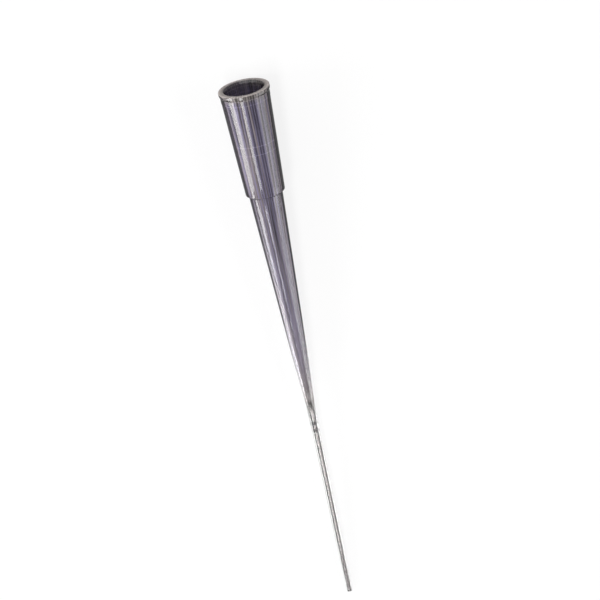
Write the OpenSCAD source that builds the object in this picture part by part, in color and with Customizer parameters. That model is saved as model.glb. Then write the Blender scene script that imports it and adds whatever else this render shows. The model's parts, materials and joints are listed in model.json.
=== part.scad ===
// Gel-loading pipette tip: a socket and collar for the pipette's nozzle, a long cone, and a fine capillary.
// One injection moulding in clear polypropylene, turned round one axis and open from end to end.
// It lies on its side as it comes to rest, on the lip of its mouth and on the end of its capillary,
// with its axis over the X axis and its mouth towards +X. Z = 0 is the bench.

/* [Lengths along the axis] */
// Mouth face to the foot of the collar
collar_len = 17.1; // [14:0.1:24]
// Foot of the collar to the end of the long cone
cone_len = 34.9; // [22:0.1:48]
// Height above the cone's end where its taper steepens
waist_len = 8.5; // [4:0.1:14]
// Parallel neck between the cone and the capillary
neck_len = 2.3; // [1:0.1:4]
// Shoulder where the neck runs down to the capillary
shoulder_len = 2.4; // [1:0.1:5]
// Capillary between the shoulder and its slimmer end
shaft_len = 16.3; // [8:0.1:30]
// Slimmer end of the capillary
point_len = 10.0; // [4:0.1:16]

/* [Socket for the nozzle] */
// Socket's diameter at the mouth
socket_d = 5.9; // [5:0.05:7.2]
// Half angle of the socket's taper, in degrees
socket_taper = 2.4; // [1:0.1:3.5]
// Depth of the socket, down to its ledge
socket_depth = 10.1; // [7:0.05:13]
// Straight seat at the foot of the socket, where the nozzle seals
seat_len = 1.4; // [1:0.05:3]
// Width of the ledge that stops the nozzle
ledge_w = 0.2; // [0.1:0.01:0.4]
// Width of the lead-in chamfer round the mouth
lead_w = 0.25; // [0.1:0.01:0.35]
// Depth of the lead-in chamfer
lead_h = 0.37; // [0.2:0.01:0.8]

/* [Bore] */
// Bore at the foot of the cone
cone_bore_d = 0.85; // [0.7:0.01:1.1]
// Height of the cone's bore above the cone's own end
throat_setback = 0.3; // [0.1:0.05:0.8]
// Width of the step from the cone's bore to the throat
throat_step = 0.095; // [0.05:0.005:0.12]
// Length of the straight throat
throat_len = 1.9; // [0.8:0.1:3]
// Length of the funnel between the throat and the capillary
funnel_len = 1.3; // [0.5:0.1:2.5]
// Bore at the top of the capillary
capillary_bore_d = 0.5; // [0.42:0.01:0.62]
// Open end of the capillary
orifice_d = 0.38; // [0.3:0.01:0.48]

/* [Walls] */
// Collar's wall at the top of the socket
collar_wall = 0.78; // [0.5:0.01:1.2]
// Cone's wall just under the collar
cone_wall = 0.5; // [0.35:0.005:0.7]
// Cone's wall where the taper steepens
waist_wall = 0.395; // [0.3:0.005:0.5]
// Wall round the throat
neck_wall = 0.325; // [0.25:0.005:0.45]
// Capillary's wall below the shoulder
capillary_wall = 0.33; // [0.2:0.005:0.42]
// Capillary's wall where its slimmer end begins
shaft_wall = 0.31; // [0.2:0.005:0.4]
// Wall round the open end
orifice_wall = 0.16; // [0.13:0.005:0.22]

/* [Lip and collar edges] */
// How far the lip stands out from the collar
lip_overhang = 0.195; // [0.1:0.005:0.35]
// Height of the lip's straight side
lip_h = 0.5; // [0.3:0.05:0.9]
// Height of the slope under the lip
undercut_h = 0.3; // [0.15:0.05:0.5]
// Depth below the mouth of the ring where the plain band ends
band_depth = 1.65; // [1.4:0.05:2.5]
// How far the plain band stands out from the collar
band_step = 0.035; // [0.02:0.005:0.06]
// How far the foot of the collar stands out from the cone
foot_step = 0.42; // [0.25:0.01:0.6]
// How far the foot's underside slopes down to the cone
foot_drop = 0.25; // [0.05:0.05:0.5]

/* [Rounded edges] */
// Lip's upper edge
lip_round = 0.12; // [0.05:0.01:0.2]
// Lip's lower edge
lip_under_round = 0.08; // [0.03:0.01:0.12]
// Edge of the collar's foot
foot_round = 0.12; // [0.05:0.01:0.2]
// Inside corner between the collar's foot and the cone
root_fillet = 0.15; // [0.05:0.01:0.25]
// Nozzle ledge's inner edge
ledge_round = 0.06; // [0.02:0.01:0.08]
// Outer edge of the open end
end_round = 0.12; // [0.05:0.01:0.12]

/* [Hidden] */
$fn = 96;
round_steps = 6;

// heights on the tip's own axis, with the open end of the capillary at 0
tip_len = collar_len + cone_len + neck_len + shoulder_len + shaft_len + point_len;
foot_z = tip_len - collar_len;
cone_z = foot_z - cone_len;
waist_z = cone_z + waist_len;
neck_z = cone_z - neck_len;
shoulder_z = neck_z - shoulder_len;
ledge_z = tip_len - socket_depth;
seat_z = ledge_z + seat_len;
socket_z = tip_len - lead_h;
throat_z = cone_z + throat_setback;
funnel_z = throat_z - throat_len;
shaft_z = funnel_z - funnel_len;

// radii of the bore
socket_r = socket_d / 2;
seat_r = socket_r - (socket_z - seat_z) * tan(socket_taper);
ledge_r = seat_r - ledge_w;
cone_bore_r = cone_bore_d / 2;
throat_r = cone_bore_r - throat_step;
capillary_r = capillary_bore_d / 2;
orifice_r = orifice_d / 2;

function along(z, z0, r0, z1, r1) = r0 + (r1 - r0) * (z - z0) / (z1 - z0);
function cone_bore_at(z) = along(z, ledge_z, ledge_r, throat_z, cone_bore_r);
function capillary_bore_at(z) = along(z, shaft_z, capillary_r, 0, orifice_r);

// outer radii, each a wall outside its bore
collar_r = socket_r + collar_wall;
band_r = collar_r + band_step;
lip_r = collar_r + lip_overhang;
cone_r = cone_bore_at(foot_z) + cone_wall;
foot_r = cone_r + foot_step;
waist_r = cone_bore_at(waist_z) + waist_wall;
neck_r = throat_r + neck_wall;
shoulder_r = capillary_bore_at(shoulder_z) + capillary_wall;
point_r = capillary_bore_at(point_len) + shaft_wall;
end_r = orifice_r + orifice_wall;

function unit(v) = v / norm(v);

// centre of the circle of radius r that touches both sides of the corner at p, between its neighbours a and b
function round_centre(a, p, b, r) =
    let (u = unit(a - p), v = unit(b - p), half = acos(u * v) / 2)
    p + unit(u + v) * r / sin(half);

// points along that circle, from the side towards a to the side towards b
function rounded(a, p, b, r) =
    let (
        u = unit(a - p), v = unit(b - p),
        c = round_centre(a, p, b, r),
        reach = sqrt((c - p) * (c - p) - r * r),
        first = p + u * reach - c,
        last = p + v * reach - c,
        start = atan2(first[1], first[0]),
        sweep = atan2(cross(first, last), first * last)
    )
    [for (i = [0 : round_steps])
        let (t = start + sweep * i / round_steps)
        c + r * [cos(t), sin(t)]];

// the outside from the rim down to the open end, as [radius, height]
rim = [socket_r + lead_w, tip_len];
lip_top = [lip_r, tip_len];
lip_under = [lip_r, tip_len - lip_h];
undercut = [band_r, tip_len - lip_h - undercut_h];
band_foot = [band_r, tip_len - band_depth];
collar_top = [collar_r, tip_len - band_depth];
foot_edge = [foot_r, foot_z + foot_drop];
foot_root = [cone_r, foot_z];
waist = [waist_r, waist_z];
point = [point_r, point_len];
end_edge = [end_r, 0];
orifice = [orifice_r, 0];

outside_line = concat(
    [rim],
    rounded(rim, lip_top, lip_under, lip_round),
    rounded(lip_top, lip_under, undercut, lip_under_round),
    [undercut, band_foot, collar_top],
    rounded(collar_top, foot_edge, foot_root, foot_round),
    rounded(foot_edge, foot_root, waist, root_fillet),
    [waist, [neck_r, cone_z], [neck_r, neck_z], [shoulder_r, shoulder_z], point],
    rounded(point, end_edge, orifice, end_round)
);

// the bore from the open end back up to the lead-in
throat_ledge = [cone_bore_r, throat_z];
ledge_edge = [ledge_r, ledge_z];
seat_foot = [seat_r, ledge_z];

bore_line = concat(
    [orifice, [capillary_r, shaft_z], [throat_r, funnel_z], [throat_r, throat_z], throat_ledge],
    rounded(throat_ledge, ledge_edge, seat_foot, ledge_round),
    [seat_foot, [seat_r, seat_z], [socket_r, socket_z]]
);

// the moulding, upright on its own axis with the mouth up
module moulding() {
    rotate_extrude() polygon(concat(outside_line, bore_line));
}

// the bench touches the lip's lower edge and the edge of the open end
lip_contact = round_centre(lip_top, lip_under, undercut, lip_under_round);
end_contact = round_centre(point, end_edge, orifice, end_round);
rise = lip_contact - end_contact;
lean = atan2(rise[0], rise[1]) + asin((lip_under_round - end_round) / norm(rise));
axis_height = cos(lean) * end_contact[0] - sin(lean) * end_contact[1] + end_round;

// furthest points of the laid tip along X, at the mouth's edge and at the open end
mouth_reach = round_centre(rim, lip_top, lip_under, lip_round) * [sin(lean), cos(lean)] + lip_round;
end_reach = end_contact * [-sin(lean), cos(lean)] - end_round;

module pipette_tip() {
    color([0.66, 0.64, 0.70, 0.75])
    translate([-(mouth_reach + end_reach) / 2, 0, axis_height])
    rotate([0, 90 - lean, 0])
    moulding();
}

pipette_tip();
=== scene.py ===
import json
import math

import bmesh
import bpy
from mathutils import Matrix, Vector


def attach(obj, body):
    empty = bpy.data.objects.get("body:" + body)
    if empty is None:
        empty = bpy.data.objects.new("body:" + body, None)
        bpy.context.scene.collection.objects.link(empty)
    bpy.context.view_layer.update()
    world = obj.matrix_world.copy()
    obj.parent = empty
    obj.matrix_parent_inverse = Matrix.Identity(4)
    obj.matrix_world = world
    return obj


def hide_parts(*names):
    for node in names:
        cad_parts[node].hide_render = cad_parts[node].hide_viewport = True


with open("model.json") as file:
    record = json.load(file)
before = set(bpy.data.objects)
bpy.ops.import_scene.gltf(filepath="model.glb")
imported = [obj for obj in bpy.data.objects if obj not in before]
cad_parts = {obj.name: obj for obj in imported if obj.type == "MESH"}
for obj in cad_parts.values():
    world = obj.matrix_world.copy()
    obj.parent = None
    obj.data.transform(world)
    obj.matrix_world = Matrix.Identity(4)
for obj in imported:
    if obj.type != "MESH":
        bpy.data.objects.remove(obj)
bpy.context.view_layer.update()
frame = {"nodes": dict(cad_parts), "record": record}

scene = bpy.context.scene


# ---- Tip ----
# One injection moulding in clear polypropylene, faintly smoky and violet-grey, round one straight axis.
# Its steel mould is polished on both sides of the wall. Pulling the plastic off the steel leaves fine drag
# marks along the collar and cone.

rim = next(mount for mount in frame["record"]["mounts"] if mount["name"] == "mouth_rim")
rim_centre = Vector(rim["pos_m"])
to_mouth = Vector(rim["axis"]).normalized()
above = Vector((-to_mouth.z, 0, to_mouth.x))
tip_length = 0.083
open_end = rim_centre - tip_length * to_mouth


def half_section(mesh, foot, axis):
    """A turned mesh's rings as (radius, height) points.

    They run from the mouth's inner edge down the outside and back up the bore.
    """
    same_point = 0.000005
    points = []
    owner = []
    for vertex in mesh.vertices:
        reach = vertex.co - foot
        height = reach.dot(axis)
        point = Vector(((reach - height * axis).length, height))
        near = [i for i, other in enumerate(points) if (other - point).length < same_point]
        if not near:
            near = [len(points)]
            points.append(point)
        owner.append(near[0])
    beside = {i: set() for i in range(len(points))}
    for edge in mesh.edges:
        a, b = (owner[i] for i in edge.vertices)
        if a != b:
            beside[a].add(b)
            beside[b].add(a)
    mouth_edge = max(beside, key=lambda i: points[i].y - points[i].x)
    order = [mouth_edge, max(beside[mouth_edge], key=lambda i: points[i].x)]
    while len(order) < len(points):
        order.append(next(i for i in beside[order[-1]] if i not in order))
    return [points[i] for i in order]


def revolve_tree():
    """Geometry Nodes that turn a closed half section round the Z axis."""
    tree = bpy.data.node_groups.new("revolve", "GeometryNodeTree")
    inputs = {"Section": "Geometry", "Facets": "Int", "Hoop Radius": "Float", "Material": "Material"}
    for name, kind in inputs.items():
        tree.interface.new_socket(name, in_out="INPUT", socket_type="NodeSocket" + kind)
    tree.interface.new_socket("Mesh", in_out="OUTPUT", socket_type="NodeSocketGeometry")
    nodes = tree.nodes
    link = tree.links.new
    given = nodes.new("NodeGroupInput")
    section = nodes.new("GeometryNodeMeshToCurve")
    hoop = nodes.new("GeometryNodeCurvePrimitiveCircle")
    upright = nodes.new("GeometryNodeSetCurveNormal")
    upright.mode = "Z_UP"
    sweep = nodes.new("GeometryNodeCurveToMesh")
    realize = nodes.new("GeometryNodeRealizeInstances")
    finish = nodes.new("GeometryNodeSetMaterial")
    result = nodes.new("NodeGroupOutput")
    link(given.outputs["Section"], section.inputs["Mesh"])
    link(given.outputs["Facets"], hoop.inputs["Resolution"])
    link(given.outputs["Hoop Radius"], hoop.inputs["Radius"])
    link(hoop.outputs["Curve"], upright.inputs["Curve"])
    link(upright.outputs["Curve"], sweep.inputs["Curve"])
    link(section.outputs["Curve"], sweep.inputs["Profile Curve"])
    link(sweep.outputs["Mesh"], realize.inputs["Geometry"])
    link(realize.outputs["Geometry"], finish.inputs["Geometry"])
    link(given.outputs["Material"], finish.inputs["Material"])
    link(finish.outputs["Geometry"], result.inputs["Mesh"])
    return tree


class Socket:
    """An output of a node. Sums, differences and products of it add Math nodes to its tree."""

    def __init__(self, graph, output):
        self.graph = graph
        self.output = output

    def math(self, operation, *operands):
        return self.graph.node("ShaderNodeMath", {"operation": operation}, dict(enumerate(operands)))["Value"]

    def __add__(self, other):
        return self.math("ADD", self, other)

    def __radd__(self, other):
        return self.math("ADD", other, self)

    def __sub__(self, other):
        return self.math("SUBTRACT", self, other)

    def __rsub__(self, other):
        return self.math("SUBTRACT", other, self)

    def __mul__(self, other):
        return self.math("MULTIPLY", self, other)

    def __rmul__(self, other):
        return self.math("MULTIPLY", other, self)

    def __abs__(self):
        return self.math("ABSOLUTE", self)


class Graph:
    """The node tree of one material or of the world."""

    def __init__(self, owner):
        owner.use_nodes = True
        self.tree = owner.node_tree
        self.tree.nodes.clear()

    def node(self, kind, settings=None, inputs=None):
        """Adds a node: its settings first, then its sockets. Returns its outputs by name."""
        made = self.tree.nodes.new(kind)
        for name, value in (settings or {}).items():
            if name == "stops":
                ramp = made.color_ramp.elements
                while len(ramp) < len(value):
                    ramp.new(0.5)
                for element, (position, colour) in zip(ramp, value):
                    element.position = position
                    element.color = colour
            else:
                setattr(made, name, value)
        for name, value in (inputs or {}).items():
            usable = [socket for socket in made.inputs if socket.enabled]
            socket = usable[name] if isinstance(name, int) else next(s for s in usable if s.name == name)
            if isinstance(value, Socket):
                self.tree.links.new(value.output, socket)
            else:
                socket.default_value = value
        return {output.name: Socket(self, output) for output in made.outputs if output.enabled}

    def mixed(self, factor, first, second):
        """A colour on its way from the first to the second."""
        inputs = {"Factor": factor, "A": first, "B": second}
        return self.node("ShaderNodeMix", {"data_type": "RGBA"}, inputs)["Result"]

    def between(self, value, zero_at, one_at):
        """A smooth change from 0 at one value to 1 at the other, whichever of the two is larger."""
        inputs = {"Value": value, "From Min": zero_at, "From Max": one_at}
        return self.node("ShaderNodeMapRange", {"interpolation_type": "SMOOTHSTEP"}, inputs)["Result"]


smoky = (0.13, 0.118, 0.15, 1)
hardly_smoky = (0.77, 0.75, 0.79, 1)
clear = (0.99, 0.985, 0.98, 1)
smoke_and_painted_shade = (0.005, 0.004, 0.007, 1)
clear_bore = (0.66, 0.62, 0.62, 1)
grey_bore = (0.33, 0.30, 0.31, 1)
milky = (0.70, 0.63, 0.96, 1)
rosy = (0.88, 0.76, 0.82, 1)
chalky = (0.88, 0.79, 0.75, 1)
bore_edge_painted_shade = (0.02, 0.018, 0.019, 1)
smoke = (0.6, 0.58, 0.6, 1)
smoke_density = 200.0
plastic_ior = 1.49
polish = 0.03
haze_roughness = 0.3

# Heights over the open end. A change starts at the first and is complete at the second.
body_begins = (0.029, 0.036)
outline_begins = (0.033, 0.046)
chalky_end_begins = (0.040, 0.030)
chalky_mouth_begins = (0.0815, 0.0826)
rim_face_begins = (0.0826, 0.0829)

polypropylene = bpy.data.materials.new("clear_polypropylene")
plastic = Graph(polypropylene)

# Along the axis from the open end, and round it.
lean = math.atan2(to_mouth.z, to_mouth.x)
lying = plastic.node(
    "ShaderNodeMapping",
    {"vector_type": "TEXTURE"},
    {
        "Vector": plastic.node("ShaderNodeTexCoord")["Object"],
        "Location": open_end,
        "Rotation": (0, -lean, 0),
    },
)["Vector"]
from_end = plastic.node("ShaderNodeSeparateXYZ", inputs={"Vector": lying})
height = from_end["X"]
off_axis = plastic.node("ShaderNodeCombineXYZ", inputs={"Y": from_end["Y"], "Z": from_end["Z"]})["Vector"]
off_axis = plastic.node("ShaderNodeVectorMath", {"operation": "NORMALIZE"}, {0: off_axis})["Vector"]
round_axis = plastic.node("ShaderNodeSeparateXYZ", inputs={"Vector": off_axis})


def along_tip(*stops):
    """Colours at heights over the open end, in metres."""
    stops = [(at / tip_length, colour) for at, colour in stops]
    return plastic.node("ShaderNodeValToRGB", {"stops": stops}, {"Fac": height * (1 / tip_length)})["Color"]


def ring(at, half_width):
    """1 on a ring at a height over the open end, and 0 from half_width off it."""
    return plastic.between(abs(height - at), half_width, 0.0)


# The collar and cone are streaky where the plastic was dragged off the steel. The thin end is clearer.
grain_along = 60.0
grain_round = 15.0
streaky = (0.35, 0.68)
drag_marks = 0.000008
end_marks = 0.15  # share of the drag marks that the thin end keeps
body = plastic.between(height, *body_begins)
rim_face = plastic.between(height, *rim_face_begins)
bore = plastic.node("ShaderNodeAttribute", {"attribute_name": "bore"})["Fac"]
grain = plastic.node(
    "ShaderNodeCombineXYZ",
    inputs={
        "X": height * grain_along,
        "Y": round_axis["Y"] * grain_round,
        "Z": round_axis["Z"] * grain_round,
    },
)["Vector"]
noise = plastic.node("ShaderNodeTexNoise", inputs={"Vector": grain, "Scale": 1.0, "Detail": 3.0})["Fac"]
broad = plastic.node("ShaderNodeTexNoise", inputs={"Vector": grain, "Scale": 0.8, "Detail": 1.0})["Fac"]
streaks = plastic.node(
    "ShaderNodeMapRange", inputs={"Value": noise, "From Min": streaky[0], "From Max": streaky[1]}
)["Result"]
relief = plastic.node(
    "ShaderNodeBump",
    inputs={
        "Strength": 1.0,
        "Distance": drag_marks,
        "Height": noise * (end_marks + body * (1 - end_marks)),
    },
)["Normal"]

# Seen edge on, more of the smoky wall lies in line, and the tint darkens further, to painted shade along the
# outline.
# Round the throat and funnel the bore turns dark, with rings of painted shade.
outline_slant = (0.46, 0.56)
painted_shade_rings = [
    # height over the open end, half width, strength
    (0.0310, 0.0014, 1.0),
    (0.0280, 0.0005, 0.9),
    (0.0268, 0.0005, 0.8),
]
ring_outside = 0.3  # share of a dark ring that the outer face has
slant = plastic.node("ShaderNodeLayerWeight", inputs={"Blend": 0.5})["Facing"]
# Painted shade along the outline: the tint goes near black there and the bloom clears.
painted_outline_shade = plastic.between(slant, *outline_slant) * (1 - rim_face)
outer_tint = along_tip((0.030, clear), (0.053, hardly_smoky), (0.067, smoky))
outer_tint = plastic.mixed(painted_outline_shade * plastic.between(height, *outline_begins), outer_tint, smoke_and_painted_shade)
# The bore's near-black tint in the collar and cone is part smoke, part painted shade that keeps the mouth's
# inside dark.
bore_tint = along_tip((0.004, grey_bore), (0.009, clear_bore), (0.0305, clear_bore), (0.0335, smoke_and_painted_shade))
tint = plastic.mixed(bore, outer_tint, bore_tint)
# Rings of painted shade darken the tint where the bore steps round the throat and funnel.
for at, half_width, strength in painted_shade_rings:
    in_ring = ring(at, half_width) * strength * (ring_outside + bore * (1 - ring_outside))
    tint = plastic.mixed(in_ring, tint, smoke_and_painted_shade)
glass = plastic.node(
    "ShaderNodeBsdfPrincipled",
    inputs={
        "Base Color": tint,
        "Roughness": polish,
        "IOR": plastic_ior,
        "Transmission Weight": 1.0,
        "Normal": relief,
    },
)["BSDF"]

# A milky bloom on both faces, in streaks, with a pale ring of painted highlight at each edge, and a chalky
# rim and thin end.
rosy_patches = (0.40, 0.60)
scatter = plastic.mixed(plastic.between(broad, *rosy_patches), milky, rosy)
scatter = plastic.mixed(plastic.between(height, *chalky_end_begins), scatter, chalky)
scatter = plastic.mixed(plastic.between(height, *chalky_mouth_begins), scatter, chalky)
# Along the thin end's bore the bloom turns near black, the colour of its painted shade edges.
scatter = plastic.mixed(bore * (1 - body), scatter, bore_edge_painted_shade)
bloom = plastic.node(
    "ShaderNodeBsdfPrincipled",
    inputs={
        "Base Color": scatter,
        "Roughness": haze_roughness,
        "IOR": plastic_ior,
        "Normal": relief,
    },
)["BSDF"]

# How much of the bloom covers the clear plastic. Along the thin end's bore it paints two dark edges of
# painted shade.
overall_cloud = 0.02
body_cloud = 0.01
streak_cloud = 0.24
bore_clearing = 0.55
outline_clearing = 0.9
ring_width = 0.0001
painted_highlight_rings = [
    # distance below the rim, strength
    (0.0, 0.36),
    (0.0008, 0.10),
    (0.00165, 0.10),
    (0.00843, 0.10),
    (0.00980, 0.10),
    (0.01685, 0.10),
]
bore_edge_slant = (0.15, 0.21)
bore_edge_stops = (0.72, 0.86)
cloud = overall_cloud + body * (body_cloud + streaks * streak_cloud)
# Painted highlight rings brighten the bloom at the rim and at the edges and steps below it.
for depth, strength in painted_highlight_rings:
    cloud = cloud + ring(tip_length - depth, ring_width) * strength
cloud = cloud * (1 - bore * bore_clearing) * (1 - painted_outline_shade * body * outline_clearing)
painted_bore_edges = plastic.between(slant, *bore_edge_slant) * (1 - plastic.between(slant, *bore_edge_stops))
cloud = cloud + bore * (1 - body) * painted_bore_edges
surface = plastic.node("ShaderNodeMixShader", inputs={0: cloud, 1: glass, 2: bloom})["Shader"]
inside = plastic.node(
    "ShaderNodeVolumeAbsorption", inputs={"Color": smoke, "Density": smoke_density}
)["Volume"]
plastic.node("ShaderNodeOutputMaterial", inputs={"Surface": surface, "Volume": inside})

# The CAD tip's own half section, turned again with finer facets, so that the clear wall has no ripples.
facets = 320
hoop_radius = 0.001
sharp_angle = math.radians(20)
section = bpy.data.meshes.new("section")
outline = half_section(frame["nodes"]["pipette_tip"].data, open_end, to_mouth)
section.from_pydata(
    [(point.x - hoop_radius, -point.y, 0) for point in outline],
    [(i, (i + 1) % len(outline)) for i in range(len(outline))],
    [],
)
bore_foot = outline.index(min(outline, key=lambda point: point.x + point.y))
in_bore = [float(i == 0 or i >= bore_foot) for i in range(len(outline))]
section.attributes.new("bore", "FLOAT", "POINT").data.foreach_set("value", in_bore)
blank = bpy.data.objects.new("blank", section)
scene.collection.objects.link(blank)
turned = blank.modifiers.new("turned", "NODES")
turned.node_group = revolve_tree()
chosen = {"Facets": facets, "Hoop Radius": hoop_radius, "Material": polypropylene}
for item in turned.node_group.interface.items_tree:
    if item.name in chosen:
        turned[item.identifier] = chosen[item.name]
bpy.context.view_layer.update()
mesh = bpy.data.meshes.new_from_object(blank.evaluated_get(bpy.context.evaluated_depsgraph_get()))
bpy.data.objects.remove(blank)

upright_to_lying = Matrix((above, to_mouth.cross(above), to_mouth)).transposed().to_4x4()
mesh.transform(Matrix.Translation(open_end) @ upright_to_lying)
shape = bmesh.new()
shape.from_mesh(mesh)
bmesh.ops.recalc_face_normals(shape, faces=shape.faces)
shape.to_mesh(mesh)
shape.free()
mesh.shade_smooth()
mesh.set_sharp_from_angle(angle=sharp_angle)

tip = bpy.data.objects.new("moulded_tip", mesh)
scene.collection.objects.link(tip)
even = tip.modifiers.new("even_shading", "WEIGHTED_NORMAL")
even.keep_sharp = True
even.weight = 100
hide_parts("pipette_tip")
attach(tip, "root")


# ---- Camera ----
# Far off with a long lens. It looks down on the lying tip from the mouth's side, so that the mouth
# shows as an oval.

view_tilt = math.radians(21)
roll = math.radians(11.9)
camera_distance = 2.0
view_width = 0.09035
aim_right = 0.00045
aim_up = 0.0062

to_camera = math.sin(view_tilt) * to_mouth + math.cos(view_tilt) * above
seen_axis = (to_mouth - to_mouth.dot(to_camera) * to_camera).normalized()
seen_side = seen_axis.cross(to_camera)
picture_up = math.cos(roll) * seen_axis + math.sin(roll) * seen_side
picture_right = math.cos(roll) * seen_side - math.sin(roll) * seen_axis
aim = (rim_centre + open_end) / 2 + aim_right * picture_right + aim_up * picture_up

camera = bpy.data.objects.new("camera", bpy.data.cameras.new("camera"))
camera.data.sensor_width = 36
camera.data.lens = camera.data.sensor_width * camera_distance / view_width
camera.data.clip_end = 10
turn = Matrix((picture_right, picture_up, to_camera)).transposed().to_4x4()
camera.matrix_world = Matrix.Translation(aim + camera_distance * to_camera) @ turn
scene.collection.objects.link(camera)
scene.camera = camera


# ---- Bench ----
# A plain white top, wide enough to reach past the edge of every view. Mirrored in the plastic it is darker,
# a painted shade as in the shade close to a lying tip. Seen through the plastic it has one band of painted
# shade, right of the collar and cone, as if a second tip lay beside this one.

bench_size = 6.0
half = bench_size / 2
bench_mesh = bpy.data.meshes.new("bench")
bench_mesh.from_pydata(
    [(-half, -half, 0), (half, -half, 0), (half, half, 0), (-half, half, 0)], [], [(0, 1, 2, 3)]
)
bench = bpy.data.objects.new("bench", bench_mesh)
scene.collection.objects.link(bench)

black = (0, 0, 0, 1)
white = (1, 1, 1, 1)
painted_white = (0.97, 0.97, 0.97, 1)
shade_starts = (-0.0004, -0.0014)
shade_stops = (-0.022, -0.016)
shade_foot = (-0.016, -0.006)
shade_depth = 0.66
mirror_shade = 0.7
camera_glow = 0.8
white_bench = bpy.data.materials.new("white_bench")
paint = Graph(white_bench)
ray = paint.node("ShaderNodeLightPath")
through = ray["Is Transmission Ray"]
mirrored = ray["Is Glossy Ray"] * (1 - through)
on_bench = paint.node(
    "ShaderNodeSeparateXYZ", inputs={"Vector": paint.node("ShaderNodeTexCoord")["Object"]}
)
painted_shade_band = paint.between(on_bench["Y"], *shade_starts) * paint.between(on_bench["Y"], *shade_stops)
painted_shade_band = painted_shade_band * paint.between(on_bench["X"], *shade_foot)
# Painted shade: one band for what is seen through the plastic, and all over for what the plastic mirrors.
glow = paint.mixed(1 - through * painted_shade_band * shade_depth - mirrored * mirror_shade, black, white)
lit = paint.node("ShaderNodeEmission", inputs={"Color": glow, "Strength": 1.0})["Emission"]
matt = paint.node("ShaderNodeBsdfPrincipled", inputs={"Base Color": painted_white, "Roughness": 0.9})["BSDF"]
share = ray["Is Camera Ray"] * camera_glow + through + mirrored
shader = paint.node("ShaderNodeMixShader", inputs={0: share, 1: matt, 2: lit})["Shader"]
paint.node("ShaderNodeOutputMaterial", inputs={"Surface": shader})
bench_mesh.materials.append(white_bench)


# ---- Light ----
# A dim room, which is pale through the glass, a wide soft lamp past the mouth, and long strip lamps in line
# with the tip, which lie along its walls as straight highlights.

dim = (0.2, 0.2, 0.2, 1)
pale = (0.8, 0.8, 0.8, 1)
world = bpy.data.worlds.new("studio")
scene.world = world
room = Graph(world)
seen_through = room.node("ShaderNodeLightPath")["Is Transmission Ray"]
background = room.node(
    "ShaderNodeBackground", inputs={"Color": room.mixed(seen_through, dim, pale), "Strength": 1.0}
)["Background"]
room.node("ShaderNodeOutputWorld", inputs={"Surface": background})


def lamp(name, place, facing, along, size, radiance):
    """A rectangular lamp that shines from a place along facing. The first of its sizes lies along `along`."""
    light = bpy.data.lights.new(name, "AREA")
    light.shape = "RECTANGLE"
    light.size, light.size_y = size
    light.energy = radiance * math.pi * size[0] * size[1]
    shown = bpy.data.objects.new(name, light)
    back = -facing.normalized()
    side = (along - along.dot(back) * back).normalized()
    facing_turn = Matrix((side, back.cross(side), back)).transposed().to_4x4()
    shown.matrix_world = Matrix.Translation(place) @ facing_turn
    scene.collection.objects.link(shown)


to_key = Vector((0.72, 0.50, 0.48)).normalized()
key_distance = 1.5
key_size = (3.0, 1.1)
key_radiance = 1.4
lamp("key", key_distance * to_key, -to_key, Vector((0, 1, 0)), key_size, key_radiance)

to_right = to_mouth.cross(above)
strip_distance = 1.0
strips = [
    # name, angle round the tip from straight above (positive is right), width, from, to, radiance
    ("left_wall_cone", -84, 0.30, -1.0, -0.467, 10.0),
    ("left_wall", -75, 0.52, -0.467, 0.2, 8.0),
    ("left_line", -23, 0.22, -0.486, 0.2, 9.0),
    ("right_wall_cone", 68, 0.80, -1.0, -0.486, 4.0),
    ("right_wall", 68, 0.80, -0.486, 0.2, 2.8),
]
for name, angle, width, first, last, radiance in strips:
    angle = math.radians(angle)
    to_strip = math.cos(angle) * above + math.sin(angle) * to_right
    middle = strip_distance * to_strip + (first + last) / 2 * to_mouth
    lamp(name, middle, -to_strip, to_mouth, (last - first, width), radiance)


# ---- View ----
# Colours show as they are written.

scene.view_settings.view_transform = "Standard"
